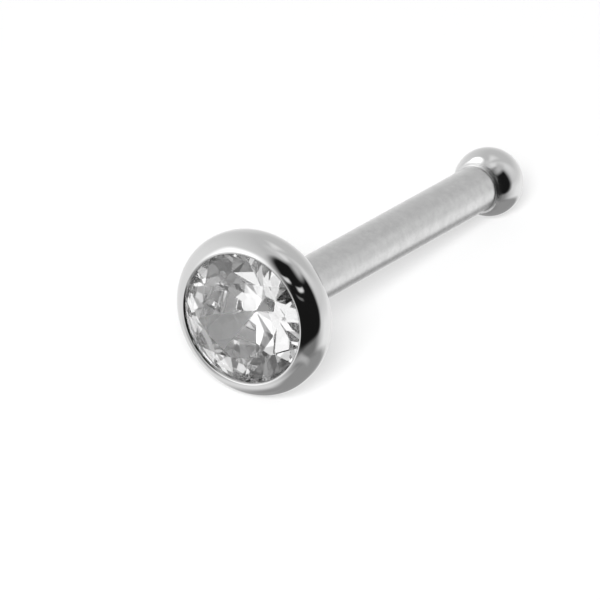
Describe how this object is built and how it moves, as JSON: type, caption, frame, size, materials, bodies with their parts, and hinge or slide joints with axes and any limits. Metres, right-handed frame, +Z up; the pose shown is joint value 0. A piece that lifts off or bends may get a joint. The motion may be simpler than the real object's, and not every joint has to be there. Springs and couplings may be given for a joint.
{
  "type": "nose stud",
  "caption": "Straight nose stud: a clear round brilliant stone in a domed steel cup, on a wire post that ends in a small ball.",
  "frame": {"origin": "on the surface that the stud lies on, under the middle of its bounding box", "axes": "+Z up; +Y along the stud as seen from above, from the stone to the ball; the stud's own axis lies in the YZ plane and dips by 6.2 degrees towards the ball"},
  "size_m": [0.0028, 0.0084, 0.0028],
  "materials": {
    "polished_surgical_steel": "mirror-polished cup and ball, satin post",
    "clear_cubic_zirconia": "clear, polished facets"
  },
  "bodies": {
    "root": {"cup_and_post": "polished_surgical_steel", "stone": "clear_cubic_zirconia"}
  },
  "joints": []
}
